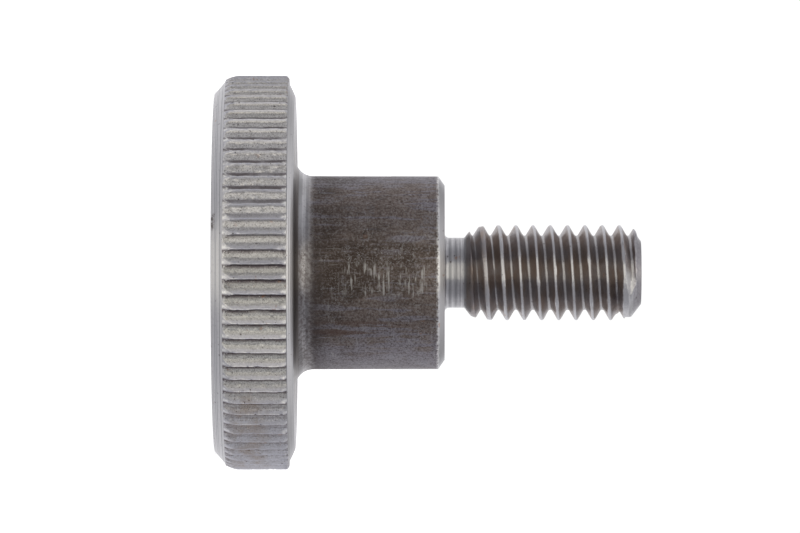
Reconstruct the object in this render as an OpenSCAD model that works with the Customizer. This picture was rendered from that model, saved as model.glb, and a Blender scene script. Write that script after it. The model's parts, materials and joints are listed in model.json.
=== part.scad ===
// Knurled thumb screw, high type, M4, turned from one piece of steel.
// It stands on its head. +Z runs up the axis to the screw's tip, and the
// origin is the centre of the head's flat face. Millimetres.

/* [Head] */
// Diameter over the tips of the knurl
head_d = 16; // [14:0.1:20]
// Height of the head, from the flat face to the back face
head_h = 3.26; // [3:0.02:5]
// Diameter of the flat face
face_d = 14.52; // [13:0.02:14.6]
// Diameter at the foot of the knurl, on the side of the flat face
front_foot_d = 15.42; // [14.8:0.02:15.6]
// Diameter at the foot of the knurl, on the side of the collar
back_foot_d = 15.26; // [14.8:0.02:15.6]
// Diameter of the back face
back_d = 14.32; // [13:0.02:14.6]

/* [Knurl] */
// Number of straight teeth around the head
teeth = 83; // [60:1:100]
// Depth of the grooves between the teeth
tooth_depth = 0.14; // [0.08:0.01:0.2]
// Height at which the knurl starts
knurl_z = 0.4; // [0.3:0.02:0.6]
// Length of the knurl along the axis
knurl_len = 2.62; // [2:0.02:2.64]
// Length over which the tooth ends fade, on the side of the flat face
front_fade = 0.6; // [0.3:0.02:0.8]
// Length over which the tooth ends fade, on the side of the collar
back_fade = 0.16; // [0.1:0.02:0.3]
// Direction of the first tooth tip, in degrees about the axis
tooth_angle = 211.07; // [0:0.01:360]

/* [Collar] */
// Diameter of the collar where it leaves the head
collar_root_d = 7.85; // [7:0.01:8.4]
// Diameter of the collar at its free end
collar_end_d = 7.81; // [7:0.01:8.4]
// Height of the collar's free end above the flat face
collar_top = 9.31; // [7:0.01:12]
// Radius of the fillet between the head and the collar
fillet_r = 0.73; // [0.4:0.01:1]
// Length of the chamfer at the collar's free end
collar_chamfer_len = 0.26; // [0.1:0.01:0.5]
// Radial depth of that chamfer
collar_chamfer_depth = 0.37; // [0.1:0.01:0.5]

/* [Thread] */
// Outside diameter of the M4 thread
thread_d = 3.86; // [3.84:0.01:3.97]
// Height of the screw's tip above the flat face
tip_top = 17.27; // [14:0.01:24]
// Diameter of the end face at the tip
tip_d = 2.56; // [2:0.01:3.2]
// Length of the chamfer at the tip
tip_chamfer = 0.6; // [0.4:0.01:0.8]
// Diameter of the undercut between the collar and the thread
neck_d = 2.84; // [2.4:0.01:3]
// Length of the undercut
neck_len = 0.79; // [0.5:0.01:1.2]
// Length of the cone between the undercut and the full thread
neck_cone = 0.41; // [0.2:0.01:0.6]
// Radius of the fillet between the collar's end face and the undercut
neck_fillet_r = 0.18; // [0.1:0.01:0.25]

/* [Hidden] */
$fn = 96;
steel = [0.56, 0.55, 0.54];
eps = 0.01;
// How far the ends of the teeth stand out from the head's feet
end_step = 0.16;
// How far the rounding of the teeth's ends cuts in below their tips
end_round = 0.06;

knurl_top = knurl_z + knurl_len;
tooth_pitch = 360 / teeth;
head_r = head_d / 2;
collar_root_r = collar_root_d / 2;
collar_end_r = collar_end_d / 2;
neck_r = neck_d / 2;
neck_top = collar_top + neck_len;

// One tooth, as [share of the pitch, share of the groove's depth]: a tip, a
// steep short flank, a floor that still falls a little, and a long flank that
// rises to the next tip.
TOOTH = [[0, 0], [0.14, 0.7], [0.54, 1]];

function on_circle(radius, angle) = [radius * cos(angle), radius * sin(angle)];

function tooth_ring() = [
    for (i = [0 : teeth - 1])
        for (point = TOOTH)
            on_circle(head_r - tooth_depth * point[1], tooth_angle + tooth_pitch * (i + point[0]))
];

// Ring of teeth, before their ends are faded
module tooth_prism() {
    translate([0, 0, knurl_z])
        linear_extrude(height = knurl_len)
            polygon(tooth_ring());
}

// Envelope that fades both ends of the teeth
module knurl_envelope() {
    rotate_extrude()
        polygon([
            [0, knurl_z],
            [front_foot_d / 2 + end_step, knurl_z],
            [head_r - end_round, knurl_z + front_fade / 3],
            [head_r + eps, knurl_z + front_fade],
            [head_r + eps, knurl_top - back_fade],
            [head_r - end_round, knurl_top - back_fade / 3],
            [back_foot_d / 2 + end_step, knurl_top],
            [0, knurl_top]
        ]);
}

module knurl() {
    intersection() {
        tooth_prism();
        knurl_envelope();
    }
}

// Turned disc of the head, under the knurl
module head_disc() {
    rotate_extrude()
        polygon([
            [0, 0],
            [face_d / 2, 0],
            [front_foot_d / 2, knurl_z],
            [front_foot_d / 2, knurl_z + eps],
            [back_foot_d / 2, knurl_top],
            [back_d / 2, head_h],
            [0, head_h]
        ]);
}

// Collar with its end chamfer
module collar() {
    rotate_extrude()
        polygon([
            [0, head_h - eps],
            [collar_root_r, head_h - eps],
            [collar_end_r, collar_top - collar_chamfer_len],
            [collar_end_r - collar_chamfer_depth, collar_top],
            [0, collar_top]
        ]);
}

// Ring that fills the corner between two surfaces with a hollow fillet
module fillet_ring(inner_r, radius, base_z) {
    rotate_extrude()
        difference() {
            translate([inner_r - radius / 2, base_z - radius / 2])
                square([radius * 1.5, radius * 1.5]);
            translate([inner_r + radius, base_z + radius])
                circle(r = radius);
        }
}

// Undercut, cone and screw shank, the shank as wide as the thread's crests
module shank() {
    thread_r = thread_d / 2;
    rotate_extrude()
        polygon([
            [0, collar_top - eps],
            [neck_r, collar_top - eps],
            [neck_r, neck_top],
            [thread_r, neck_top + neck_cone],
            [thread_r, tip_top - tip_chamfer],
            [tip_d / 2, tip_top],
            [0, tip_top]
        ]);
}

module thumb_screw() {
    color(steel)
        union() {
            head_disc();
            knurl();
            collar();
            fillet_ring(collar_root_r - eps, fillet_r, head_h);
            shank();
            fillet_ring(neck_r, neck_fillet_r, collar_top);
        }
}

thumb_screw();
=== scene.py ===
"""Looks of the knurled thumb screw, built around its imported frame.

The screw stands on its head: +Z runs up the axis to the tip. A lathe makes the turned blank, one Geometry
Nodes tree rolls the knurl into it, a second one cuts the thread, and one procedural steel covers it all.
Lengths in the classes are millimetres, and meshes are in metres.
"""

from __future__ import annotations

import json
import logging
import math
from dataclasses import dataclass
from enum import Enum
from typing import Callable, Iterable, Optional, Union

import bmesh
import bpy
from mathutils import Matrix, Vector

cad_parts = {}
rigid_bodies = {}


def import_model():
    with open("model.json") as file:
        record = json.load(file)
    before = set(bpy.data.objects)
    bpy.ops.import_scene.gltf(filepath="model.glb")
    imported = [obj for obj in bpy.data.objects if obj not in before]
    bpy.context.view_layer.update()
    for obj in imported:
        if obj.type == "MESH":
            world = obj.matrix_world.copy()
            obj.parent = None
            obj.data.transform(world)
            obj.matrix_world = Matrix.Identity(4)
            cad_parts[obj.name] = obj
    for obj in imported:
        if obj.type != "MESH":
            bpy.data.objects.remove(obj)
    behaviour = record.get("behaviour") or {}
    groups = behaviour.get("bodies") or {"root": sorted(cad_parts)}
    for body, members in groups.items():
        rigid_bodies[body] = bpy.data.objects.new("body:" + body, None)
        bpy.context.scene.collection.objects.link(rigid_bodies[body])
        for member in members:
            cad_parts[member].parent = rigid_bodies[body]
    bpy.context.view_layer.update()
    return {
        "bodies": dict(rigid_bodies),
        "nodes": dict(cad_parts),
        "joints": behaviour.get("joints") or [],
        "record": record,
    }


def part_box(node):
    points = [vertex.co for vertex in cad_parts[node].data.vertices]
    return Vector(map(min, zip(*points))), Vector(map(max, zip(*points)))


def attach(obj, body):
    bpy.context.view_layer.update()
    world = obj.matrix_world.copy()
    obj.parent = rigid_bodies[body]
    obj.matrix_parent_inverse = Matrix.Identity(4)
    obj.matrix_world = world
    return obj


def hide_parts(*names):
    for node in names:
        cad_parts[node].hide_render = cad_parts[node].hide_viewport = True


MM = 0.001
TAU = 2.0 * math.pi
NODE = "thumb_screw"
LOG = logging.getLogger("thumb_screw")

Operand = Union["Value", float]
Colour = tuple[float, float, float, float]
Paint = Union["Value", Colour]
Coat = tuple["Value", Paint]


# ---------------------------------------------------------------- node maths


def operator_pair(operation: str) -> tuple[Callable, Callable]:
    """Makes the two methods of a Python operator from a Math node's operation.

    Args:
        operation: The node's operation.

    Returns:
        The method for a value on the left, and the one for a value on the right.
    """

    def left(value: Value, other: Operand) -> Value:
        return value.graph.math(operation, value, other)

    def right(value: Value, other: Operand) -> Value:
        return value.graph.math(operation, other, value)

    return left, right


class Value:
    """An output socket that can stand in a sum."""

    def __init__(self, graph: Graph, socket: bpy.types.NodeSocket) -> None:
        """Wraps one output socket.

        Args:
            graph: The graph that the socket's node belongs to.
            socket: The output socket.
        """
        self.graph = graph
        self.socket = socket

    __add__, __radd__ = operator_pair("ADD")
    __sub__, __rsub__ = operator_pair("SUBTRACT")
    __mul__, __rmul__ = operator_pair("MULTIPLY")
    __truediv__, __rtruediv__ = operator_pair("DIVIDE")

    def __abs__(self) -> Value:
        """The size of self, without its sign."""
        return self.graph.math("ABSOLUTE", self)

    def low(self, other: Operand) -> Value:
        """The lower of self and other."""
        return self.graph.math("MINIMUM", self, other)

    def high(self, other: Operand) -> Value:
        """The higher of self and other."""
        return self.graph.math("MAXIMUM", self, other)

    def rising(self, start: Operand, end: Operand) -> Value:
        """A soft step from 0 at start to 1 at end."""
        return self.graph.node(
            "ShaderNodeMapRange",
            {"interpolation_type": "SMOOTHSTEP"},
            {"Value": self, "From Min": start, "From Max": end},
        )

    def falling(self, start: Operand, end: Operand) -> Value:
        """A soft step from 1 at start to 0 at end."""
        return 1.0 - self.rising(start, end)

    def band(self, start: float, end: float, soft: float) -> Value:
        """1 between start and end, and 0 outside them.

        Args:
            start: Where the band begins.
            end: Where the band ends.
            soft: How wide each of its edges is.

        Returns:
            The band as a value from 0 to 1.
        """
        half = soft / 2
        return self.rising(start - half, start + half) * self.falling(end - half, end + half)


class Graph:
    """Builds the nodes of one tree."""

    def __init__(self, tree: bpy.types.NodeTree) -> None:
        """Starts on a tree, which may hold nodes already."""
        self.tree = tree

    def node(
        self,
        kind: str,
        settings: Optional[dict[str, object]] = None,
        inputs: Optional[dict[Union[str, int], object]] = None,
        out: Union[str, int] = 0,
    ) -> Value:
        """Adds one node.

        Args:
            kind: The node's type.
            settings: Its properties, which are set first.
            inputs: A number, colour, other value or link for each named or numbered input.
            out: The output that is wanted.

        Returns:
            The wanted output.
        """
        built = self.tree.nodes.new(kind)
        for name, setting in (settings or {}).items():
            setattr(built, name, setting)
        for name, given in (inputs or {}).items():
            if isinstance(given, Value):
                self.tree.links.new(given.socket, built.inputs[name])
            else:
                built.inputs[name].default_value = given
        outputs = built.outputs
        return Value(self, outputs[out]) if len(outputs) else None

    def math(self, operation: str, *operands: Operand) -> Value:
        """Adds one Math node.

        Args:
            operation: The node's operation.
            operands: Its one, two or three inputs, in order.

        Returns:
            Its result.
        """
        return self.node("ShaderNodeMath", {"operation": operation}, dict(enumerate(operands)))

    def vector(self, x: Operand, y: Operand, z: Operand) -> Value:
        """A vector of three parts."""
        return self.node("ShaderNodeCombineXYZ", None, {"X": x, "Y": y, "Z": z})

    def parts(self, vector: Value) -> tuple[Value, ...]:
        """The three parts of a vector."""
        split = self.node("ShaderNodeSeparateXYZ", None, {0: vector}).socket.node
        return tuple(Value(self, split.outputs[axis]) for axis in "XYZ")

    def noise(self, place: Value, scale: float, detail: float = 2.0, roughness: float = 0.5) -> Value:
        """Smooth noise from about 0.2 to 0.8.

        Args:
            place: Where it is read.
            scale: Waves for each unit of place.
            detail: How many finer layers it has.
            roughness: How strong the finer layers are.

        Returns:
            The noise.
        """
        inputs = {"Vector": place, "Scale": scale, "Detail": detail, "Roughness": roughness}
        return self.node("ShaderNodeTexNoise", None, inputs)

    def lines(self, place: Value, scale: float, detail: float = 2.0) -> Value:
        """Smooth noise along one direction, for lines.

        Args:
            place: How far along it is read.
            scale: Waves for each unit of place.
            detail: How many finer layers it has.

        Returns:
            The noise.
        """
        inputs = {"W": place, "Scale": scale, "Detail": detail, "Roughness": 0.6}
        return self.node("ShaderNodeTexNoise", {"noise_dimensions": "1D"}, inputs)

    def mix(self, share: Operand, first: Paint, second: Paint) -> Value:
        """Mixes two colours.

        Args:
            share: 0 gives first and 1 gives second.
            first: A colour or a link.
            second: A colour or a link.

        Returns:
            The mixed colour.
        """
        settings = {"data_type": "RGBA", "clamp_factor": True}
        return self.node("ShaderNodeMix", settings, {0: share, 6: first, 7: second}, out=2)

    def coated(self, colour: Paint, coats: Iterable[Coat]) -> Paint:
        """Lays coats over a colour.

        Args:
            colour: What lies underneath.
            coats: How much there is of each coat, and its colour, from the lowest to the top one.

        Returns:
            The colour that shows.
        """
        for share, paint in coats:
            colour = self.mix(share, colour, paint)
        return colour


def empty_graph(owner: Union[bpy.types.Material, bpy.types.World]) -> Graph:
    """Turns on the nodes of a material or world, clears them, and gives the graph to build on."""
    owner.use_nodes = True
    owner.node_tree.nodes.clear()
    return Graph(owner.node_tree)


def toward(x: Value, y: Value, degrees: float) -> Value:
    """How far a point lies in a direction from the axis, given in degrees."""
    return x * math.cos(math.radians(degrees)) + y * math.sin(math.radians(degrees))


class FieldTree(Graph):
    """A Geometry Nodes tree with one geometry going in and one coming out."""

    def __init__(self, name: str) -> None:
        """Makes the empty tree."""
        super().__init__(bpy.data.node_groups.new(name, "GeometryNodeTree"))
        self.identifiers: dict[str, str] = {}
        self.values: dict[str, object] = {}
        self._socket("Geometry", "INPUT", "NodeSocketGeometry")
        self._socket("Geometry", "OUTPUT", "NodeSocketGeometry")
        self.entry = self.tree.nodes.new("NodeGroupInput")

    def _socket(self, name: str, side: str, kind: str) -> str:
        """Adds a socket to the tree's own interface and gives its identifier."""
        return self.tree.interface.new_socket(name=name, in_out=side, socket_type=kind).identifier

    def size(self, name: str, value: Union[float, int]) -> Value:
        """Adds a named input.

        Args:
            name: What the input is called.
            value: What the modifier sets it to.

        Returns:
            The input, for use in sums.
        """
        kind = "NodeSocketInt" if isinstance(value, int) else "NodeSocketFloat"
        self.identifiers[name] = self._socket(name, "INPUT", kind)
        self.values[name] = value
        return Value(self, self.entry.outputs[name])

    @property
    def geometry(self) -> Value:
        """The geometry that comes in."""
        return Value(self, self.entry.outputs["Geometry"])

    def store(self, geometry: Value, name: str, value: Value) -> Value:
        """Keeps a number at each point under a name.

        Args:
            geometry: What the points belong to.
            name: The attribute's name.
            value: The number.

        Returns:
            The geometry with its attribute.
        """
        settings = {"data_type": "FLOAT", "domain": "POINT"}
        inputs = {"Geometry": geometry, "Name": name, "Value": value}
        return self.node("GeometryNodeStoreNamedAttribute", settings, inputs)

    def read(self, name: str) -> Value:
        """A number that each point carries."""
        settings = {"data_type": "FLOAT"}
        return self.node("GeometryNodeInputNamedAttribute", settings, {"Name": name}, out="Attribute")

    def finish(self, geometry: Value, material: bpy.types.Material) -> None:
        """Ends the tree in Realize Instances and Set Material."""
        real = self.node("GeometryNodeRealizeInstances", None, {"Geometry": geometry})
        dressed = self.node("GeometryNodeSetMaterial", None, {"Geometry": real, "Material": material})
        leave = self.tree.nodes.new("NodeGroupOutput")
        self.tree.links.new(dressed.socket, leave.inputs["Geometry"])

    def apply(self, piece: bpy.types.Object) -> None:
        """Runs the tree on a piece and leaves its plain result as the piece's mesh."""
        modifier = piece.modifiers.new(self.tree.name, "NODES")
        modifier.node_group = self.tree
        for name, identifier in self.identifiers.items():
            modifier[identifier] = self.values[name]
        graph = bpy.context.evaluated_depsgraph_get()
        result = bpy.data.meshes.new_from_object(
            piece.evaluated_get(graph), preserve_all_data_layers=True, depsgraph=graph
        )
        piece.modifiers.remove(modifier)
        piece.data = result


# ---------------------------------------------------------------- the turned blank


FACE_RINGS = (0.5, 1.5, 3.0, 4.5, 6.0, 6.8)
KNURL_FRONT_GAPS = (0.025, 0.05, 0.08, 0.11, 0.145, 0.18, 0.22, 0.26, 0.305, 0.35)
KNURL_BACK_GAPS = (0.25, 0.20, 0.16, 0.125, 0.095, 0.07, 0.045, 0.025, 0.0)
KNURL_MIDDLE_RINGS = 28
SHARP_EDGE = math.radians(38)


class Columns(Enum):
    """How many points go round the axis on each stretch of the blank."""

    FACE = 166
    HEAD = 332
    KNURL = 996
    COLLAR = 240
    SHANK = 100


@dataclass(frozen=True)
class Corner:
    """A corner of the turned outline: its radius and height, and how round it is."""

    r: float
    z: float
    round: float = 0.0
    arc_steps: int = 3


@dataclass(frozen=True)
class Ring:
    """One turned ring of points."""

    r: float
    z: float
    columns: Columns
    knurled: float = 0.0
    burr: float = 0.0


def rounded_corner(before: Vector, corner: Corner, after: Vector) -> list[Vector]:
    """Points of an arc that rounds a corner.

    Args:
        before: The corner before it.
        corner: The corner.
        after: The corner after it.

    Returns:
        The arc's points, or the corner alone if it is sharp.
    """
    tip = Vector((corner.r, corner.z))
    if corner.round <= 0:
        return [tip]
    inward = (before - tip).normalized()
    outward = (after - tip).normalized()
    half = inward.angle(outward) / 2
    reach = corner.round / math.tan(half)
    centre = tip + (inward + outward).normalized() * (corner.round / math.sin(half))
    start = tip + inward * reach - centre
    end = tip + outward * reach - centre
    sweep = start.angle_signed(end)
    points = []
    for step in range(corner.arc_steps + 1):
        turned = start.copy()
        turned.rotate(Matrix.Rotation(-sweep * step / corner.arc_steps, 2))
        points.append(centre + turned)
    return points


def outline(corners: list[Corner], longest: float) -> list[Vector]:
    """The points of an outline with rounded corners.

    Args:
        corners: The corners in order. The two end ones stay sharp.
        longest: The longest step along a straight stretch.

    Returns:
        Points as (radius, height).
    """
    tips = [Vector((c.r, c.z)) for c in corners]
    points = [tips[0]]
    for before, corner, after in zip(tips, corners[1:-1], tips[2:]):
        points += rounded_corner(before, corner, after)
    points.append(tips[-1])
    filled = [points[0]]
    for point in points[1:]:
        gap = (point - filled[-1]).length
        steps = max(1, math.ceil(gap / longest))
        start = filled[-1]
        filled += [start.lerp(point, step / steps) for step in range(1, steps + 1)]
    return filled


def zip_rings(bm: bmesh.types.BMesh, lower: list, upper: list) -> None:
    """Joins two closed rings of points, which may have different counts, with faces.

    Args:
        bm: The mesh.
        lower: The vertices of the first ring, evenly shared out by angle.
        upper: The vertices of the second ring.
    """
    if len(lower) == len(upper):
        for i in range(len(lower)):
            j = (i + 1) % len(lower)
            bm.faces.new((lower[i], lower[j], upper[j], upper[i]))
        return
    i = j = 0
    while i < len(lower) or j < len(upper):
        if (i + 1) * len(upper) <= (j + 1) * len(lower):
            bm.faces.new((lower[i], lower[(i + 1) % len(lower)], upper[j % len(upper)]))
            i += 1
        else:
            bm.faces.new((lower[i % len(lower)], upper[(j + 1) % len(upper)], upper[j]))
            j += 1


@dataclass(frozen=True)
class Knurl:
    """Straight knurl rolled into the head: its teeth, and how their ends fade."""

    teeth: int = 83
    depth: float = 0.14
    first_tip: float = math.radians(211.07)
    start: float = 0.455
    end: float = 3.02
    land_r: float = 7.843
    front_step: float = 0.155
    front_fade: float = 0.60
    back_step: float = 0.13
    back_fade: float = 0.17
    facet_drop: float = 0.06
    facet_length: float = 0.30
    foot_share: float = 0.14
    foot_depth: float = 0.80
    bottom_share: float = 0.54
    unevenness: float = 0.015
    ripple: float = 0.06
    pit_depth: float = 0.25
    nick_depth: float = 0.45
    sway: float = 0.085
    seed: float = 4.0

    def column_angles(self) -> list[float]:
        """The angles of the head's columns, set so that each tooth's edges lie on one."""
        per_tooth = Columns.KNURL.value // self.teeth
        stretches = ((0.0, self.foot_share, 3), (self.foot_share, self.bottom_share, 4))
        shares = [a + (b - a) * k / n for a, b, n in stretches for k in range(n)]
        left = per_tooth - len(shares)
        shares += [self.bottom_share + (1 - self.bottom_share) * k / left for k in range(left)]
        pitch = TAU / self.teeth
        return [self.first_tip + pitch * (tooth + share) for tooth in range(self.teeth) for share in shares]

    def tree(self, tip_r: float, material: bpy.types.Material) -> FieldTree:
        """The tree that presses the teeth into the blank's knurled band.

        Args:
            tip_r: The radius over the tips.
            material: The finish.

        Returns:
            The tree, ready to apply.
        """
        tree = FieldTree("roll_knurl")
        tip = tree.size("Tip radius", tip_r)
        teeth = tree.size("Teeth", self.teeth)
        depth = tree.size("Groove depth", self.depth)
        first = tree.size("First tip", self.first_tip)
        start = tree.size("Start", self.start)
        end = tree.size("End", self.end)
        foot_share = tree.size("Foot share", self.foot_share)
        foot_depth = tree.size("Foot depth", self.foot_depth)
        bottom = tree.size("Bottom share", self.bottom_share)
        facet = tree.size("Facet drop", self.facet_drop)
        wear = tree.size("Wear", 1.0)
        seed = tree.size("Seed", self.seed)

        x, y, z = (part / MM for part in tree.parts(tree.node("GeometryNodeInputPosition")))
        radius = tree.math("SQRT", x * x + y * y)
        angle = tree.math("ARCTAN2", y, x)
        turn = (angle - first) * teeth / TAU
        share = tree.math("FRACT", turn + 0.0005)
        steep = share * foot_depth / foot_share
        floor = foot_depth + (share - foot_share) * (1.0 - foot_depth) / (bottom - foot_share)
        rise = (1.0 - share) / (1.0 - bottom)
        groove = steep.low(floor).low(rise).high(0.0)

        tooth = tree.math("ROUND", turn)
        own = tree.node("ShaderNodeTexWhiteNoise", {"noise_dimensions": "1D"}, {"W": tooth + seed})
        along = tree.vector(tooth * 0.37 + seed, own * 9.0, z)
        ripple = tree.noise(along, 2.4, 3.0, 0.6) - 0.5
        chips = tree.noise(tree.vector(x, y, z + seed), 5.5, 3.0, 0.65)
        lowered = (own * self.unevenness + abs(ripple) * self.ripple) * (1.0 - groove)
        pitted = groove.rising(0.0, 0.4) * share.falling(bottom, bottom + 0.1)
        pits = (chips - 0.54).high(0.0) * self.pit_depth * pitted
        nicks = (chips - 0.58).high(0.0) * self.nick_depth * (1.0 - groove)
        near_front = (1.0 - (z - start) / self.facet_length).high(0.0)
        near_back = (1.0 - (end - z) / self.facet_length).high(0.0)
        corner = near_front.high(near_back) * share.rising(bottom + 0.05, 1.0) * facet * (0.5 + own)
        tooth_r = tip - depth * groove - corner - (lowered + pits + nicks) * wear

        fade_front = (1.0 - (z - start - own * 0.05) / self.front_fade).high(0.0)
        fade_back = (1.0 - (end - z) / self.back_fade).high(0.0)
        front = tip - self.front_step * fade_front * fade_front
        back = tip - self.back_step * fade_back * fade_back
        ends = front.low(back)
        new_r = tooth_r.low(ends)

        sway = (tree.noise(tree.vector(tooth * 0.61, seed, z), 1.8, 2.0) - 0.5) * self.sway * wear
        new_angle = angle + sway / radius
        moved = tree.vector(
            tree.math("COSINE", new_angle) * new_r * MM,
            tree.math("SINE", new_angle) * new_r * MM,
            z * MM,
        )
        knurled = tree.read("knurled")
        chosen = tree.math("GREATER_THAN", knurled, 0.5)
        over = tooth_r - ends
        marks = {
            "relief": 1.0 - groove,
            "smooth_flank": share.rising(bottom, bottom + 0.12),
            "land": over.rising(0.0, 0.012),
            "lip": abs(over).falling(0.004, 0.018),
            "foot": share.rising(0.01, 0.06) * share.falling(0.18, 0.33),
            "facet": (corner / self.facet_drop).rising(0.1, 0.45),
        }
        shape = tree.geometry
        for name, mark in marks.items():
            shape = tree.store(shape, name, mark * knurled)
        shape = tree.node(
            "GeometryNodeSetPosition", None, {"Geometry": shape, "Selection": chosen, "Position": moved}
        )
        tree.finish(shape, material)
        return tree


@dataclass(frozen=True)
class Dent:
    """A flat spot on a crest: which way it faces, how far below the tip it is, and how deep."""

    degrees: float
    below_tip: float
    depth: float


@dataclass(frozen=True)
class Thread:
    """Right-hand metric thread, cut as one helical strip round the shank."""

    pitch: float = 0.70
    root_r: float = 1.505
    crest_flat: float = 0.11
    rows: int = 20
    crest_at: float = 11.145
    cone_rise: float = 1.25
    tip_rise: float = 1.30
    flank_degrees: float = 60.0
    crest_blend: float = 0.035
    root_blend: float = 0.11
    run_in_drop: float = 0.16
    run_in_at: float = 0.31
    run_in_length: float = 0.35
    wear: float = 0.05
    burr: float = 0.13
    dents: tuple[Dent, ...] = (Dent(243.0, 0.68, 0.065), Dent(0.0, 0.52, 0.13))
    seed: float = 11.0

    @property
    def step(self) -> float:
        """The spacing of the heights on which the strip's points lie."""
        return self.pitch / Columns.SHANK.value

    def base(self, start: float) -> float:
        """The height, below start by at least one pitch, at which the strip begins."""
        turns = math.ceil((self.crest_at - start) / self.pitch) + 1
        return self.crest_at - turns * self.pitch

    def snapped(self, height: float, start: float) -> float:
        """The height of the strip's points that is nearest to a height."""
        return self.base(start) + round((height - self.base(start)) / self.step) * self.step

    def tree(self, screw: ThumbScrew, material: bpy.types.Material) -> FieldTree:
        """The tree that adds the threaded length to the blank and joins the two.

        Args:
            screw: The screw that the thread belongs to.
            material: The finish.

        Returns:
            The tree, ready to apply.
        """
        tree = FieldTree("cut_thread")
        crest = tree.size("Crest radius", screw.thread_r)
        root = tree.size("Root radius", self.root_r)
        pitch = tree.size("Pitch", self.pitch)
        start = tree.size("Start", screw.thread_start)
        end = tree.size("End", screw.top)
        neck = tree.size("Neck radius", screw.neck_r)
        tip = tree.size("Tip radius", screw.tip_r)
        rows = tree.size("Rows for each turn", self.rows)
        seed = tree.size("Seed", self.seed)

        base = self.base(screw.thread_start)
        turns = math.ceil((screw.top - base) / self.pitch)
        columns = Columns.SHANK.value
        grid = tree.node(
            "GeometryNodeMeshGrid",
            None,
            {
                "Size X": 1.0,
                "Size Y": 1.0,
                "Vertices X": columns + 1,
                "Vertices Y": turns * self.rows + 1,
            },
        )
        across, along, _ = tree.parts(tree.node("GeometryNodeInputPosition"))
        column = tree.math("ROUND", (across + 0.5) * float(columns))
        row = tree.math("ROUND", (along + 0.5) * float(turns * self.rows))
        turn = column / float(columns)
        free = base + (row / rows + turn) * pitch
        z = free.high(start).low(end)
        angle = turn * TAU
        x, y = tree.math("COSINE", angle), tree.math("SINE", angle)

        top = screw.top
        away = abs(tree.math("WRAP", row / rows, 0.5, -0.5)) * pitch
        patches = tree.noise(tree.vector(x * 1.9, y * 1.9, z - seed), 1.6, 2.0, 0.5)
        ending = toward(x, y, 345.0).rising(0.30, 0.95)
        last = z.rising(top - 1.05, top - 0.85) * ending
        early = z.falling(screw.thread_start + 0.6, screw.thread_start + 2.4)
        flat = self.crest_flat * (0.75 + (patches - 0.5).high(0.0) * 2.0 + last * 1.6 + early * 0.45)
        flank = crest - (away - flat / 2) * math.tan(math.radians(self.flank_degrees))
        capped = tree.math("SMOOTH_MIN", flank, crest, self.crest_blend)
        rounded = tree.math("SMOOTH_MAX", capped, root, self.root_blend)
        filled = root + (crest - root) * z.rising(top - 0.70, top - 0.50) * ending
        rounded = rounded.high(filled)
        before = (screw.thread_start + self.run_in_at - z) / self.run_in_length
        run_in = crest - self.run_in_drop * tree.math("EXPONENT", before)
        cone = neck + (z - start) * self.cone_rise
        ragged = toward(x, y, 180.0).rising(0.75, 0.95) * z.band(top - 0.369, top - 0.169, 0.05)
        point = tip + (end - z) * self.tip_rise + ragged * self.burr
        rough = tree.noise(tree.vector(x * 1.9, y * 1.9, z + seed), 4.0, 3.0, 0.6) - 0.5
        crest_share = (rounded - root) / (crest - root)
        worn = rounded - abs(rough) * self.wear * crest_share
        radius = tree.math("SMOOTH_MIN", worn.low(run_in), cone.low(point), 0.03)
        for dent in self.dents:
            radius = radius.low(self._dented(x, y, z, dent, screw))
        radius = radius.high(tip.low(neck))
        for height, wanted in ((end, tip), (start, neck)):
            there = tree.math("COMPARE", z, height, 0.0001)
            radius = radius * (1.0 - there) + wanted * there

        cut = (rounded - radius).rising(0.02, 0.05) * z.rising(top - 1.1, top - 0.9)
        run_out = toward(x, y, 330.0).rising(0.35, 0.55)
        cut = cut.high(z.rising(top - 0.80, top - 0.65) * run_out)
        marked = tree.store(grid, "cut_away", cut)
        shape = tree.node(
            "GeometryNodeSetPosition",
            None,
            {"Geometry": marked, "Position": tree.vector(x * radius * MM, y * radius * MM, z * MM)},
        )
        both = tree.tree.nodes.new("GeometryNodeJoinGeometry")
        tree.tree.links.new(tree.geometry.socket, both.inputs[0])
        tree.tree.links.new(shape.socket, both.inputs[0])
        joined = Value(tree, both.outputs[0])
        merged = tree.node("GeometryNodeMergeByDistance", None, {"Geometry": joined, "Distance": 1.5e-6})
        tree.finish(merged, material)
        return tree

    @staticmethod
    def _dented(x: Value, y: Value, z: Value, dent: Dent, screw: ThumbScrew) -> Value:
        """The furthest out that the surface may be because of a dent.

        Args:
            x: Direction from the axis.
            y: Direction from the axis.
            z: Height.
            dent: The dent.
            screw: The screw that it is in.

        Returns:
            The limit, which is out of reach away from the dent.
        """
        aside = abs(z - (screw.top - dent.below_tip)).rising(0.15, 0.24)
        return (screw.thread_r - dent.depth) / toward(x, y, dent.degrees).high(0.2) + aside


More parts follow.
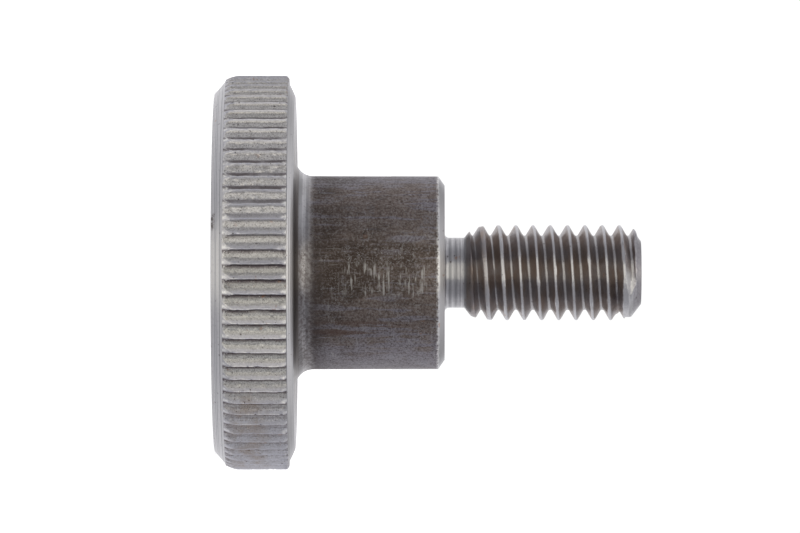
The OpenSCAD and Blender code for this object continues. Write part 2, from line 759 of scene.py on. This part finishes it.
@dataclass
class ThumbScrew:
    """The whole screw: one turned piece."""

    head_r: float
    top: float
    collar_top: float
    thread_r: float
    face_r: float = 7.26
    front_foot_r: float = 7.705
    front_foot_z: float = 0.385
    back_foot_r: float = 7.63
    back_r: float = 7.16
    head_h: float = 3.26
    fillet: float = 0.73
    collar_root_r: float = 3.925
    collar_end_r: float = 3.905
    chamfer_len: float = 0.26
    chamfer_depth: float = 0.37
    neck_r: float = 1.42
    neck_len: float = 0.79
    neck_fillet: float = 0.18
    tip_r: float = 1.28
    knurl: Knurl = Knurl()
    thread: Thread = Thread()

    @classmethod
    def from_frame(cls, frame: dict) -> ThumbScrew:
        """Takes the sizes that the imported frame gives.


        Returns:
            The screw.
        """
        low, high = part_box(NODE)
        mounts = {mount["name"]: mount for mount in frame["record"]["mounts"]}
        return cls(
            head_r=(high.x - low.x) / 2 / MM,
            top=high.z / MM - 0.001,
            collar_top=mounts["collar_seat"]["pos_m"][2] / MM,
            thread_r=mounts["thread"]["dims"]["r_mm"],
        )

    @property
    def collar_edge_z(self) -> float:
        """Where the collar's end chamfer begins."""
        return self.collar_top - self.chamfer_len

    @property
    def thread_start(self) -> float:
        """Where the undercut ends and the thread begins, on a height that the thread's points have."""
        wanted = self.collar_top + self.neck_len
        return self.thread.snapped(wanted, wanted)

    def rings(self) -> list[Ring]:
        """Every ring of the blank, from the middle of the flat face to the end of the undercut."""
        knurl = self.knurl
        face = [Ring(r, 0.0, Columns.FACE) for r in FACE_RINGS]
        rim = outline(
            [
                Corner(7.0, 0.0),
                Corner(self.face_r, 0.0, 0.09, 4),
                Corner(self.front_foot_r, self.front_foot_z, 0.02, 2),
                Corner(knurl.land_r, knurl.start),
            ],
            0.09,
        )
        front = [Ring(p.x, p.y, Columns.HEAD) for p in rim]
        band = [Ring(self.head_r, z, Columns.KNURL, knurled=1.0) for z in self._band_heights()]
        back_rim = outline(
            [
                Corner(self.back_foot_r, knurl.end),
                Corner(self.back_foot_r, knurl.end + 0.02, 0.02, 2),
                Corner((self.back_foot_r + self.back_r) / 2 + 0.008, (knurl.end + self.head_h) / 2 + 0.012),
                Corner(self.back_r, self.head_h, 0.025, 2),
                Corner(self.collar_root_r, self.head_h, self.fillet, 12),
                Corner(self.collar_end_r, self.collar_edge_z, 0.02, 2),
                Corner(self.collar_end_r - self.chamfer_depth, self.collar_top, 0.03, 2),
                Corner(self.neck_r, self.collar_top, self.neck_fillet, 6),
                Corner(self.neck_r, self.thread_start),
            ],
            0.16,
        )
        back = []
        for point in back_rim:
            back.append(Ring(point.x, point.y, self._columns(point), burr=self._burr(point)))
        return face + front + band + back

    def _band_heights(self) -> list[float]:
        """Heights of the rings across the knurl, closer together near its ends."""
        first = [self.knurl.start + gap for gap in KNURL_FRONT_GAPS]
        last = [self.knurl.end - gap for gap in KNURL_BACK_GAPS]
        step = (last[0] - first[-1]) / (KNURL_MIDDLE_RINGS + 1)
        middle = [first[-1] + step * k for k in range(1, KNURL_MIDDLE_RINGS + 1)]
        return first + middle + last

    def _columns(self, point: Vector) -> Columns:
        """How many columns a point of the back of the screw gets."""
        if point.y <= self.head_h + 0.02 and point.x > self.collar_root_r + self.fillet:
            return Columns.HEAD
        if point.x > self.neck_r + self.neck_fillet + 0.3:
            return Columns.COLLAR
        return Columns.SHANK

    def _burr(self, point: Vector) -> float:
        """1 at the outer edge of the collar's end chamfer, where the tool left a ragged burr."""
        edge = Vector((self.collar_end_r, self.collar_edge_z))
        return 1.0 if (point - edge).length < 0.03 else 0.0

    def blank(self) -> bpy.types.Object:
        """Turns the blank: every surface but the threaded length, with both ends closed."""
        bm = bmesh.new()
        knurled = bm.verts.layers.float.new("knurled")
        angles = self.knurl.column_angles()
        rings = []
        for ring in self.rings():
            count = ring.columns.value
            stride = len(angles) // count if len(angles) % count == 0 else 0
            loop = []
            for index in range(count):
                angle = angles[index * stride] if stride else TAU * index / count
                r = ring.r + ring.burr * self._ragged(angle)
                vert = bm.verts.new((r * math.cos(angle) * MM, r * math.sin(angle) * MM, ring.z * MM))
                vert[knurled] = ring.knurled
                loop.append(vert)
            rings.append(loop)
        for lower, upper in zip(rings, rings[1:]):
            zip_rings(bm, *self._aligned(lower, upper))
        self._close(bm, rings[0], 0.0)
        tip = []
        for index in range(Columns.SHANK.value):
            angle = TAU * index / Columns.SHANK.value
            place = (self.tip_r * math.cos(angle) * MM, self.tip_r * math.sin(angle) * MM, self.top * MM)
            tip.append(bm.verts.new(place))
        self._close(bm, tip, self.top)
        mesh = bpy.data.meshes.new("thumb_screw_blank")
        bm.to_mesh(mesh)
        bm.free()
        piece = bpy.data.objects.new("thumb_screw_steel", mesh)
        bpy.context.scene.collection.objects.link(piece)
        return piece

    @staticmethod
    def _ragged(angle: float) -> float:
        """Height of the burr at an angle, from a few waves that don't line up."""
        waves = math.sin(17 * angle) + math.sin(41 * angle + 1.3) + math.sin(67 * angle + 4.0)
        return 0.006 * max(0.0, waves)

    @staticmethod
    def _aligned(lower: list, upper: list) -> tuple[list, list]:
        """Turns the second ring so that both begin at about the same angle."""
        if len(lower) == len(upper):
            return lower, upper
        start = Vector(lower[0].co.xy).normalized()
        best = max(range(len(upper)), key=lambda i: Vector(upper[i].co.xy).normalized().dot(start))
        return lower, upper[best:] + upper[:best]

    @staticmethod
    def _close(bm: bmesh.types.BMesh, ring: list, height: float) -> None:
        """Closes a ring with a fan round a middle point."""
        middle = bm.verts.new((0.0, 0.0, height * MM))
        for i, vert in enumerate(ring):
            bm.faces.new((middle, vert, ring[(i + 1) % len(ring)]))

    def build(self, finish: SteelFinish) -> bpy.types.Object:
        """Makes the finished piece.

        Args:
            finish: The steel it is made of.

        Returns:
            The piece, with its place in its mesh.
        """
        material = finish.material(self)
        piece = self.blank()
        self.knurl.tree(self.head_r, material).apply(piece)
        self.thread.tree(self, material).apply(piece)
        tidy_surface(piece)
        return piece


def tidy_surface(piece: bpy.types.Object) -> None:
    """Points every face outward, smooths the shading and reports the mesh."""
    bm = bmesh.new()
    bm.from_mesh(piece.data)
    bmesh.ops.dissolve_degenerate(bm, dist=1e-8, edges=bm.edges)
    bmesh.ops.recalc_face_normals(bm, faces=bm.faces)
    for face in bm.faces:
        face.smooth = True
    for edge in bm.edges:
        edge.smooth = len(edge.link_faces) != 2 or edge.calc_face_angle(0.0) < SHARP_EDGE
    loose = sum(1 for edge in bm.edges if len(edge.link_faces) != 2)
    triangles = sum(len(face.verts) - 2 for face in bm.faces)
    volume = bm.calc_volume(signed=True) / MM**3
    LOG.info("%s: %d triangles, %d open edges, %.1f mm3", piece.name, triangles, loose, volume)
    bm.to_mesh(piece.data)
    bm.free()


# ---------------------------------------------------------------- the steel

CUT: Colour = (0.54, 0.535, 0.545, 1.0)
RUBBED: Colour = (0.88, 0.87, 0.85, 1.0)
GRIME: Colour = (0.060, 0.042, 0.036, 1.0)
STAIN: Colour = (0.090, 0.068, 0.057, 1.0)
BARE: Colour = (0.300, 0.280, 0.308, 1.0)


@dataclass(frozen=True)
class Surface:
    """What the shader knows of a point: its place in millimetres, and the noises read there."""

    graph: Graph
    place: Value
    x: Value
    y: Value
    z: Value
    r: Value
    fine: Value
    coarse: Value
    specks: Value

    @classmethod
    def read(cls, graph: Graph) -> Surface:
        """Reads the place and the noises.

        Args:
            graph: The material's graph.

        Returns:
            The surface.
        """
        coords = graph.node("ShaderNodeTexCoord", None, None, out="Object")
        place = graph.node("ShaderNodeVectorMath", {"operation": "SCALE"}, {0: coords, "Scale": 1 / MM})
        x, y, z = graph.parts(place)
        return cls(
            graph=graph,
            place=place,
            x=x,
            y=y,
            z=z,
            r=graph.math("SQRT", x * x + y * y).high(0.001),
            fine=graph.noise(place, 8.0, 4.0, 0.65),
            coarse=graph.noise(place, 1.2, 3.0, 0.55),
            specks=graph.noise(place, 21.0, 2.0, 0.6),
        )

    def mark(self, name: str) -> Value:
        """A number that the mesh's points carry."""
        return self.graph.node("ShaderNodeAttribute", {"attribute_name": name}, None, out="Fac")

    def facing(self, degrees: float) -> Value:
        """The cosine of the angle between a direction from the axis and this point's own."""
        return toward(self.x, self.y, degrees) / self.r

    def around(self, finest: float, along: float) -> Value:
        """A vector whose noise is finest around the axis, with this much change along it."""
        return self.graph.vector(self.x / self.r * finest, self.y / self.r * finest, self.z * along)

    def stretched(self, across: float, along: float, shift: float = 0.0) -> Value:
        """A vector whose noise is finer one way than the other.

        Args:
            across: How fine it is across the axis.
            along: How fine it is along the axis.
            shift: What is added along the axis, to reach another stretch of noise.

        Returns:
            The vector.
        """
        return self.graph.vector(self.x * across, self.y * across, self.z * along + shift)


@dataclass(frozen=True)
class KnurlFinish:
    """The knurl: pitted floors, smooth flanks and ends, bright tips and lip edges, with painted sheen,
    painted highlights and painted shade that follow which way each part faces.
    """

    # warmer floor colour, painted only where floors face -Y as a painted reflection of the warm strip light
    floor: Colour = (0.53, 0.52, 0.50, 1.0)
    pressed: Colour = (0.57, 0.563, 0.60, 1.0)
    # painted sheen: the knurl's sides facing -X and +X are painted lighter
    side_sheen: Colour = (0.63, 0.627, 0.665, 1.0)
    # painted sheen for the pitted floors on the side facing -X
    pale_floor: Colour = (0.68, 0.66, 0.615, 1.0)
    # painted sheen for floors turned part way toward +X
    lower_floor_sheen: Colour = (0.80, 0.79, 0.75, 1.0)
    # painted highlight colour for the band facing the warm strip light
    middle: Colour = (0.80, 0.79, 0.80, 1.0)
    mottle: Colour = (0.26, 0.245, 0.235, 1.0)
    # painted shade colour for the smooth flanks on the side facing -X
    upper_flank_shade: Colour = (0.13, 0.105, 0.105, 1.0)
    # painted shade colour for the groove bottoms on the side facing +X
    lower_groove_shade: Colour = (0.17, 0.135, 0.13, 1.0)
    # painted shadow colour for the foot of each steep flank
    foot_shadow: Colour = (0.125, 0.098, 0.105, 1.0)
    brown: Colour = (0.36, 0.27, 0.19, 1.0)
    # bright crest colour: partly rubbed wear, partly a painted highlight
    tip: Colour = (0.74, 0.745, 0.83, 1.0)
    # near-white painted highlight colour for the tooth end facet
    facet: Colour = (0.98, 0.97, 0.95, 1.0)

    def colour(self, at: Surface, knurl: Knurl) -> Value:
        """The colour at a point of the knurl.

        Args:
            at: The point.
            knurl: The knurl.

        Returns:
            The colour.
        """
        graph = at.graph
        relief, smooth, land = at.mark("relief"), at.mark("smooth_flank"), at.mark("land")
        over, under = at.facing(180.0).rising(0.20, 0.42), at.facing(0.0).rising(0.50, 0.80)
        lower = at.facing(0.0).rising(0.02, 0.30)
        near = at.facing(270.0).rising(0.35, 0.75)
        # painted highlight: a narrow band facing the warm strip light
        middle = at.facing(244.0).rising(0.88, 0.98)
        open_floor = (1.0 - land) * relief.falling(0.35, 0.65)
        floor = (1.0 - smooth * (0.25 + 0.75 * over)) * open_floor
        # painted sheen: floors turned part way toward +X, but not the far +X side
        lower_floor_sheen = (1.0 - smooth) * open_floor * lower * (1.0 - under)

        broken = at.fine.rising(0.44, 0.58)
        grain = graph.noise(at.place, 14.0, 3.0, 0.7)
        patchy = at.coarse.rising(0.35, 0.55)
        mottle = grain.falling(0.36, 0.58) * (0.35 + 0.65 * floor)
        pits = at.specks.rising(0.60, 0.68) * (0.25 + 0.75 * floor)
        sparks = at.specks.falling(0.30, 0.36) * (0.3 + 0.7 * floor)

        # painted shade: smooth flanks below the crests, on the side facing -X only
        behind = smooth * relief.falling(0.70, 0.90) * over * (0.6 + 0.4 * patchy)
        # painted shade: the bottoms of the grooves, on the side facing +X only
        below = relief.falling(0.06, 0.20) * under * (0.6 + 0.4 * broken)
        # painted shadow: a dark line at the foot of each steep flank, left off on the side facing -X
        foot = at.mark("foot") * (0.70 + 0.30 * patchy)
        foot = foot * (1.0 - at.facing(180.0).rising(0.05, 0.35))
        brown = at.facing(330.0).rising(0.88, 0.97) * at.z.band(0.8, 2.1, 0.9)
        brown = brown * (at.coarse.rising(0.42, 0.60) * 0.7 + at.fine.rising(0.48, 0.60) * 0.3)
        # partly wear, partly painted highlight: crests painted bright only where they face -Y or +X
        tips = relief.rising(0.82, 0.95) * (0.45 + 0.55 * broken) * (1.0 - land) * near.high(under)
        before_end = at.z.falling(knurl.end - 0.10, knurl.end - 0.03)
        # partly wear, partly painted highlight: rubbed lip edges painted bright only where they face -Y
        lip_highlights = at.mark("lip") * before_end * (0.35 + 0.6 * broken) * near
        # painted highlight: tooth end facet painted near-white where it faces -Y
        facet_highlights = at.mark("facet") * (0.60 + 0.4 * broken) * near
        return graph.coated(
            # painted reflection: pitted floors take the warmer floor colour only where they face -Y
            graph.mix(floor * near, self.pressed, self.floor),
            [
                # painted sheen: lighter colour on the sides facing -X and +X
                (over.high(under), self.side_sheen),
                # painted sheen: floors on the side facing -X painted paler
                (floor * over * 0.7, self.pale_floor),
                (lower_floor_sheen * 0.7, self.lower_floor_sheen),
                (middle * 0.45, self.middle),
                (mottle * 0.50, self.mottle),
                (behind * 0.85, self.upper_flank_shade),
                (below * 0.40, self.lower_groove_shade),
                (foot * 0.92, self.foot_shadow),
                (brown * 0.52, self.brown),
                (pits * 0.75, GRIME),
                (sparks * 0.6, RUBBED),
                (tips * 0.75, self.tip),
                (lip_highlights, RUBBED),
                (facet_highlights, self.facet),
            ],
        )


@dataclass(frozen=True)
class CollarFinish:
    """The collar: brown where it stained, with the brown painted deeper on the side facing -Y as shade, a
    painted grey sheen round its sides, and rubbed scratches with a painted highlight on one patch.
    """

    pale_brown: Colour = (0.250, 0.207, 0.186, 1.0)
    streak: Colour = (0.36, 0.36, 0.40, 1.0)
    dark_grain: Colour = (0.070, 0.052, 0.044, 1.0)
    pale_grain: Colour = (0.38, 0.37, 0.38, 1.0)
    speck: Colour = (0.42, 0.42, 0.43, 1.0)
    reddish: Colour = (0.150, 0.090, 0.072, 1.0)
    scuff: Colour = (0.42, 0.42, 0.46, 1.0)
    scratch: Colour = (0.50, 0.49, 0.48, 1.0)

    def colour(self, at: Surface) -> Value:
        """The colour at a point of the collar."""
        graph = at.graph
        streaks = graph.noise(at.around(9.0, 0.22), 1.7, 4.0, 0.65)
        blotches = graph.noise(at.place, 0.55, 3.0, 0.6)
        grain = graph.noise(at.place, 11.0, 4.0, 0.75)
        worn_end = at.z.rising(4.8, 9.0) * 0.40
        # partly stain, partly painted shade: the stain is made much stronger where the collar faces -Y
        brown = at.facing(268.0).rising(0.88, 1.0) * 0.75 + (blotches - 0.5) * 2.0 - worn_end + 0.16
        brown = brown + (streaks - 0.5) * 1.6
        # partly random tone, partly painted sheen: the sides turned away from -Y are painted greyer and
        # lighter
        grey = at.facing(262.0).falling(0.35, 0.80) * 0.8 + streaks.falling(0.36, 0.52) * 0.8
        grey = grey + (at.coarse - 0.5) * 1.6
        specks = at.specks.rising(0.58, 0.68) * (0.25 + 0.6 * at.coarse.rising(0.45, 0.6))
        reddish = at.facing(305.0).rising(0.994, 0.9995) * at.z.falling(6.0, 8.5) * streaks.rising(0.40, 0.55)
        scuffed = graph.noise(at.stretched(1.3, 0.9, 6.0), 1.0, 3.0, 0.6)
        scuffed = scuffed.rising(0.56, 0.68) * at.fine.rising(0.45, 0.56)
        light = graph.mix(grey.rising(0.20, 0.80), self.pale_brown, BARE)
        return graph.coated(
            light,
            [
                (brown.rising(0.0, 0.95), STAIN),
                (streaks.rising(0.60, 0.70) * 0.45, self.streak),
                (grain.rising(0.47, 0.62) * 0.65, self.dark_grain),
                (grain.falling(0.36, 0.47) * 0.50, self.pale_grain),
                (specks, self.speck),
                (reddish * 0.6, self.reddish),
                (scuffed * 0.40, self.scuff),
                (self._scratches(at), self.scratch),
            ],
        )

    @staticmethod
    def _scratches(at: Surface) -> Value:
        """Short scratches across the collar, thick in one patch on the side facing -Y, where they are painted
        bright as a highlight, and thin elsewhere, and along it.
        """
        graph = at.graph
        across = graph.noise(at.stretched(1.7, 15.0), 1.0, 1.0, 0.5)
        along = graph.noise(at.around(60.0, 0.7), 1.0, 3.0, 0.6)
        clumps = graph.noise(at.stretched(1.8, 2.1, 3.0), 1.0, 2.0, 0.5)
        # painted highlight: the thick scratches show only in a narrow strip facing -Y
        lit = (at.facing(274.0) + (clumps - 0.5) * 0.03).rising(0.980, 0.995)
        patch = lit * at.z.band(5.3, 8.7, 0.5) * clumps.rising(0.42, 0.60) * across.rising(0.50, 0.62)
        thin = across.rising(0.60, 0.70) * at.coarse.rising(0.46, 0.60) * 0.30
        lengthwise = along.rising(0.60, 0.72) * at.coarse.falling(0.46, 0.54) * 0.35
        bends = graph.noise(graph.vector(at.x * 0.45, at.y * 0.45 + 2.0, at.z * 0.38), 1.0, 0.0, 0.4)
        hairs = abs(bends - 0.52).falling(0.0010, 0.0030) * at.fine.rising(0.46, 0.54) * 0.40
        return (patch * 0.75).high(thin).high(lengthwise).high(hairs)


@dataclass(frozen=True)
class ThreadFinish:
    """The thread: bright crests, brown flanks and a duller point."""

    dark_brown: Colour = (0.160, 0.122, 0.116, 1.0)
    pale_brown: Colour = (0.30, 0.25, 0.225, 1.0)

    def colour(self, at: Surface, screw: ThumbScrew) -> Value:
        """The colour at a point of the thread.

        Args:
            at: The point.
            screw: The screw that the thread belongs to.

        Returns:
            The colour.
        """
        graph = at.graph
        thread = screw.thread
        height = (at.r - thread.root_r) / (screw.thread_r - thread.root_r)
        flank = height.band(0.05, 0.92, 0.08) * (1.0 - at.mark("cut_away"))
        dirt = 0.65 + 0.35 * at.coarse.rising(0.4, 0.6)
        brown = graph.mix(at.coarse.rising(0.30, 0.62), self.dark_brown, self.pale_brown)
        point = at.z.rising(screw.top - 0.38, screw.top - 0.30) * (0.4 + 0.6 * at.fine.rising(0.4, 0.6))
        return graph.coated(
            CUT,
            [
                (flank * dirt, brown),
                # painted shade: the bottoms of the roots are darkened with the stain colour
                (height.falling(0.04, 0.10) * 0.30, STAIN),
                (point * 0.75, BARE),
                (at.specks.rising(0.60, 0.70) * 0.45, GRIME),
            ],
        )


@dataclass(frozen=True)
class SteelFinish:
    """Bare turned steel: light where it was cut or rubbed, brown where it has stained, with painted
    highlights and painted shade on its chamfers, corners, knurl, collar and thread.
    """

    turned_line: Colour = (0.31, 0.31, 0.32, 1.0)
    step: Colour = (0.30, 0.295, 0.305, 1.0)
    # shaded and lit copies of the head's back chamfer: painted shade round the sides, painted highlight
    # facing -Y
    head_edge: tuple[Colour, Colour] = ((0.25, 0.245, 0.255, 1.0), (0.88, 0.87, 0.87, 1.0))
    # shaded and lit copies of the collar's end chamfer: painted shade round the sides, painted highlight
    # facing -Y
    collar_edge: tuple[Colour, Colour] = ((0.24, 0.235, 0.245, 1.0), (0.62, 0.61, 0.61, 1.0))
    # painted shade colour for the corner between head and collar
    hollow_shade: Colour = (0.120, 0.102, 0.100, 1.0)
    rust: Colour = (0.36, 0.15, 0.05, 1.0)
    knurl: KnurlFinish = KnurlFinish()
    collar: CollarFinish = CollarFinish()
    thread: ThreadFinish = ThreadFinish()

    def material(self, screw: ThumbScrew) -> bpy.types.Material:
        """Builds the procedural material.

        Args:
            screw: The screw whose surfaces it covers.

        Returns:
            The material.
        """
        steel = bpy.data.materials.new("turned_steel")
        graph = empty_graph(steel)
        at = Surface.read(graph)
        knurl = screw.knurl
        in_knurl = at.z.band(knurl.start + 0.01, knurl.end - 0.01, 0.02) * at.r.rising(7.70, 7.76)
        start = at.z + (at.fine - 0.5) * 0.25
        end = at.z + (at.fine - 0.5) * 0.16
        on_collar = start.rising(screw.head_h + 0.36, screw.head_h + 0.88) * at.r.band(3.6, 4.4, 0.2)
        on_collar = on_collar * end.falling(screw.collar_edge_z - 0.05, screw.collar_edge_z + 0.01)
        in_thread = at.z.rising(screw.thread_start, screw.thread_start + 0.1) * at.r.falling(2.2, 2.3)

        turning, ridges = self._turning(at)
        colour = graph.coated(
            CUT,
            [
                (0.85 * turning.rising(0.40, 0.60), self.turned_line),
                (0.30 * at.fine.rising(0.52, 0.66), BARE),
                (in_knurl, self.knurl.colour(at, knurl)),
                (on_collar, self.collar.colour(at)),
                *self._edges(at, screw, turning),
                (in_thread, self.thread.colour(at, screw)),
                *self._blemishes(at),
            ],
        )
        rough = 0.24 + 0.14 * at.fine + in_knurl * 0.28 + on_collar * 0.34
        height = ridges * (1.0 - in_knurl) * (1.0 - on_collar) * (1.0 - in_thread * 0.7)
        height = height + (at.fine - 0.5) * (0.25 + in_knurl * 2.0 + in_thread * 0.6 + on_collar * 0.35)
        bump = graph.node("ShaderNodeBump", None, {"Height": height, "Distance": 0.00002, "Strength": 0.7})
        inputs = {
            "Base Color": colour,
            "Metallic": 1.0,
            "Roughness": rough,
            "Normal": bump,
            "Anisotropic": 0.65,
            "Anisotropic Rotation": 0.25,
        }
        surface = graph.node("ShaderNodeBsdfPrincipled", None, inputs)
        graph.node("ShaderNodeOutputMaterial", None, {"Surface": surface})
        return steel

    @staticmethod
    def _turning(at: Surface) -> tuple[Value, Value]:
        """The rings left by turning, as a shade and as a height."""
        graph = at.graph
        along = at.z + at.r + (at.coarse - 0.5) * 0.02
        shade = graph.lines(along, 9.0, 3.0)
        ridges = (graph.lines(along + 7.0, 7.0, 2.0) - 0.5) * 3.0
        return shade, ridges

    def _edges(self, at: Surface, screw: ThumbScrew, turning: Value) -> list[Coat]:
        """Painted highlights and painted shade along the edges and in the corner between head and collar, a
        darker step behind the knurl, and wear on the collar's edge.

        Args:
            at: The point.
            screw: The screw whose edges they are.
            turning: The shade of the turned rings.

        Returns:
            The coats, from the first to the last.
        """
        graph = at.graph
        knurl_end, head_h, edge = screw.knurl.end, screw.head_h, screw.collar_edge_z
        # painted light: 1 on the side facing -Y and 0 round the sides, for the chamfers' lit and shaded
        # colours
        front = at.facing(270.0).rising(0.25, 0.97)
        lined = 0.7 + 0.3 * turning
        step = at.z.band(knurl_end - 0.01, knurl_end + 0.03, 0.02) * at.r.rising(7.5, 7.6)
        head_edge = at.z.band(knurl_end + 0.01, head_h - 0.01, 0.02) * at.r.rising(7.0, 7.1)
        collar_edge = at.z.band(edge + 0.02, screw.collar_top, 0.03) * at.r.rising(3.4, 3.5)
        # painted shade: the collar next to the fillet, left lighter on the side facing -X
        hollow_shade = at.z.rising(head_h + 0.10, head_h + 0.20) * at.r.falling(4.9, 5.1)
        hollow_shade = hollow_shade * at.z.falling(head_h + 0.5, head_h + 1.6)
        hollow_shade = hollow_shade * (1.0 - at.facing(190.0).rising(0.3, 0.75))
        hollow_shade = hollow_shade * (0.55 + 0.45 * at.fine.rising(0.40, 0.60))
        # painted shade: a dark band in the stain colour where the head's back face meets the fillet
        fillet_shade = at.z.band(head_h - 0.05, head_h + 0.17, 0.06) * at.r.falling(5.3, 6.6)
        worn_edge = at.z.band(edge - 0.07, edge + 0.05, 0.08) * at.r.band(3.6, 4.4, 0.2)
        return [
            (step * 0.8, self.step),
            (head_edge * lined, graph.mix(front, *self.head_edge)),
            (collar_edge * lined, graph.mix(front, *self.collar_edge)),
            (hollow_shade * 0.82, self.hollow_shade),
            (fillet_shade * 0.75, STAIN),
            (worn_edge * at.fine.rising(0.42, 0.56) * 0.6, RUBBED),
        ]

    def _blemishes(self, at: Surface) -> list[Coat]:
        """Dark specks, a nick in the head's rim and a few spots of rust."""
        graph = at.graph
        dots = graph.noise(at.place, 8.0, 1.0, 0.4)
        nick = at.facing(254.0).rising(0.9985, 0.9997) * at.z.falling(0.06, 0.22) * at.fine.rising(0.42, 0.52)
        spots = graph.noise(graph.vector(at.x + 9.0, at.y, at.z), 2.6, 2.0, 0.5)
        spread = graph.noise(graph.vector(at.x, at.y + 5.0, at.z), 0.35, 1.0, 0.5)
        return [
            (dots.rising(0.745, 0.77) * 0.7, GRIME),
            (nick * at.r.rising(7.0, 7.1) * 0.8, GRIME),
            (spots.rising(0.69, 0.73) * spread.rising(0.5, 0.6) * 0.4, self.rust),
        ]


# ---------------------------------------------------------------- the studio


@dataclass(frozen=True)
class Studio:
    """Pale floor, white surroundings, soft light, and the camera."""

    distance: float = 335.0
    camera_height: float = 8.74
    aim_height: float = 7.50
    aim_side: float = -0.26
    lens: float = 371.6
    floor_r: float = 1500.0
    front_light: float = 0.46
    back_light: float = 0.95
    strip_light: float = 1.02
    shade: float = 0.42
    white: Colour = (1.0, 1.0, 1.0, 1.0)
    front_tint: Colour = (0.93, 0.935, 1.0, 1.0)
    back_tint: Colour = (0.975, 0.97, 1.0, 1.0)
    strip_tint: Colour = (1.0, 0.97, 0.90, 1.0)

    def build(self) -> None:
        """Builds everything that isn't the object."""
        self._world()
        self._floor()
        self._camera()
        scene = bpy.context.scene
        scene.view_settings.view_transform = "Standard"
        scene.view_settings.look = "None"

    def _world(self) -> None:
        """White to the eye. The screw sees a long warm strip in front, dim grey beside it, and pale grey."""
        world = bpy.data.worlds.new("studio")
        graph = empty_graph(world)
        x, y, z = graph.parts(graph.node("ShaderNodeTexCoord", None, None, out="Generated"))
        reach = 0.33 + 0.67 * (0.0 - y).high(0.0)
        behind = y.rising(-0.35, 0.55)
        back_light = self.back_light * (1.0 - self.shade * z.rising(0.15, 0.50) * y.rising(0.25, 0.55))
        light = self.front_light * (1.0 - behind) + back_light * behind
        strip = (x / reach).band(-0.63, 0.37, 0.12) * y.falling(0.05, 0.35)
        tint = graph.mix(strip, graph.mix(behind, self.front_tint, self.back_tint), self.strip_tint)
        light = light * (1.0 - strip) + self.strip_light * (1.0 + 0.3 * z * z) * strip
        seen = graph.node("ShaderNodeLightPath", None, None, out="Is Camera Ray")
        colour = graph.mix(seen, tint, self.white)
        strength = seen * 1.05 + (1.0 - seen) * light
        background = graph.node("ShaderNodeBackground", None, {"Color": colour, "Strength": strength})
        graph.node("ShaderNodeOutputWorld", None, {"Surface": background})
        bpy.context.scene.world = world

    def _floor(self) -> None:
        """A round pale floor under the head, which the steel doesn't mirror and which is clear from below."""
        bm = bmesh.new()
        bmesh.ops.create_circle(bm, cap_ends=True, radius=self.floor_r * MM, segments=96)
        mesh = bpy.data.meshes.new("floor")
        bm.to_mesh(mesh)
        bm.free()
        floor = bpy.data.objects.new("floor", mesh)
        floor.visible_glossy = False
        floor.visible_shadow = False
        bpy.context.scene.collection.objects.link(floor)
        paint = bpy.data.materials.new("pale_floor")
        graph = empty_graph(paint)
        inputs = {
            "Base Color": (0.8, 0.8, 0.8, 1.0),
            "Roughness": 1.0,
            "Emission Color": self.white,
            "Emission Strength": 0.75,
        }
        above = graph.node("ShaderNodeBsdfPrincipled", None, inputs)
        below = graph.node("ShaderNodeBsdfTransparent")
        behind = graph.node("ShaderNodeNewGeometry", out="Backfacing")
        surface = graph.node("ShaderNodeMixShader", None, {0: behind, 1: above, 2: below})
        graph.node("ShaderNodeOutputMaterial", None, {"Surface": surface})
        mesh.materials.append(paint)

    def _camera(self) -> None:
        """A long lens looking along +Y, rolled so that the screw's axis runs to the right."""
        data = bpy.data.cameras.new("camera")
        data.lens = self.lens
        data.clip_start = 0.01
        camera = bpy.data.objects.new("camera", data)
        place = Vector((self.aim_side, -self.distance, self.camera_height)) * MM
        aim = Vector((self.aim_side, 0.0, self.aim_height)) * MM
        back = (place - aim).normalized()
        up = Vector((-1.0, 0.0, 0.0))
        right = up.cross(back).normalized()
        up = back.cross(right)
        turn = Matrix((right, up, back)).transposed()
        camera.matrix_world = Matrix.Translation(place) @ turn.to_4x4()
        bpy.context.scene.collection.objects.link(camera)
        bpy.context.scene.camera = camera


def main() -> None:
    """Builds the screw and its studio."""
    logging.basicConfig(level=logging.INFO, format="%(message)s")
    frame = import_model()
    Studio().build()
    screw = ThumbScrew.from_frame(frame)
    piece = screw.build(SteelFinish())
    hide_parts(NODE)
    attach(piece, "root")


if __name__ == "__main__":
    main()
